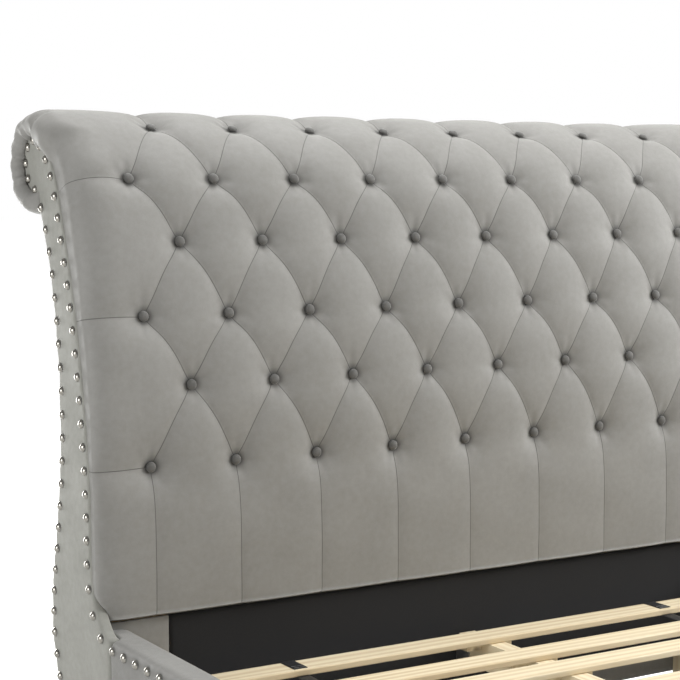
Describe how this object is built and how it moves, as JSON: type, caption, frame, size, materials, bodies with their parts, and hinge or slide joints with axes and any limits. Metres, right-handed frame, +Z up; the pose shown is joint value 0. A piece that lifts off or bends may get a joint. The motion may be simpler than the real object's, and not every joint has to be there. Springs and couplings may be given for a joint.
{
  "type": "sleigh bed",
  "caption": "Upholstered sleigh bed with a button-tufted rolled headboard and footboard, nail-trimmed side facings, padded rails, and a slat deck on a centre beam.",
  "frame": {"origin": "on the floor, under the middle of the bed's overall box", "axes": "+X to the right as seen from the foot of the bed, +Y towards the headboard, +Z up"},
  "size_m": [1.7626, 2.674, 1.395],
  "materials": {
    "velvet": "short warm grey velvet",
    "facing_velvet": "short pale grey velvet",
    "dust_cloth": "black non-woven cloth",
    "webbing": "black woven tape",
    "plywood": "bare plywood",
    "pine": "bare planed pine",
    "dark_wood": "dark satin stain",
    "nail_metal": "polished nickel",
    "zinc_steel": "zinc plated",
    "glide_plastic": "moulded black plastic"
  },
  "bodies": {
    "bed": {"head_pad": "velvet", "head_roll_core": "plywood", "head_front_board": "plywood", "head_side_frame_l": "plywood", "head_side_frame_r": "plywood", "head_top_bar": "pine", "head_mid_bar": "pine", "head_edge_bar": "pine", "head_base_bar": "pine", "head_posts": "pine", "head_back_cover": "velvet", "head_leg_wrap_l": "velvet", "head_leg_wrap_r": "velvet", "head_dust_cloth": "dust_cloth", "head_facing_l": "facing_velvet", "head_facing_r": "facing_velvet", "head_roll_end_l": "velvet", "head_roll_end_r": "velvet", "head_buttons": "velvet", "head_nails": "nail_metal", "foot_roll_pad": "velvet", "foot_outer_pad": "velvet", "foot_roll_core": "plywood", "foot_side_frame_l": "plywood", "foot_side_frame_r": "plywood", "foot_top_bar": "pine", "foot_base_bar": "pine", "foot_posts": "pine", "foot_facing_l": "facing_velvet", "foot_facing_r": "facing_velvet", "foot_roll_end_l": "velvet", "foot_roll_end_r": "velvet", "foot_buttons": "velvet", "foot_nails": "nail_metal", "rail_core_l": "plywood", "rail_core_r": "plywood", "rail_pad_l": "velvet", "rail_pad_r": "velvet", "rail_cleat_l": "pine", "rail_cleat_r": "pine", "rail_nails": "nail_metal", "cleat_screws": "zinc_steel", "corner_brackets": "zinc_steel", "corner_bolts": "zinc_steel", "turned_feet": "dark_wood", "slats": "pine", "slat_blocks": "pine", "strap_l": "webbing", "strap_r": "webbing", "strap_staples": "zinc_steel", "centre_beam": "pine", "beam_brackets": "zinc_steel", "support_leg_1": "pine", "support_leg_2": "pine", "support_leg_3": "pine", "leg_tee_nuts": "zinc_steel"},
    "glide_1": {"leg_glide_1": "glide_plastic"},
    "glide_2": {"leg_glide_2": "glide_plastic"},
    "glide_3": {"leg_glide_3": "glide_plastic"}
  },
  "joints": [
    {"name": "glide_1_height", "type": "slide", "parent": "bed", "child": "glide_1", "axis": [0, 0, 1], "range_m": [-0.008, 0.01]},
    {"name": "glide_2_height", "type": "slide", "parent": "bed", "child": "glide_2", "axis": [0, 0, 1], "range_m": [-0.008, 0.01]},
    {"name": "glide_3_height", "type": "slide", "parent": "bed", "child": "glide_3", "axis": [0, 0, 1], "range_m": [-0.008, 0.01]}
  ]
}
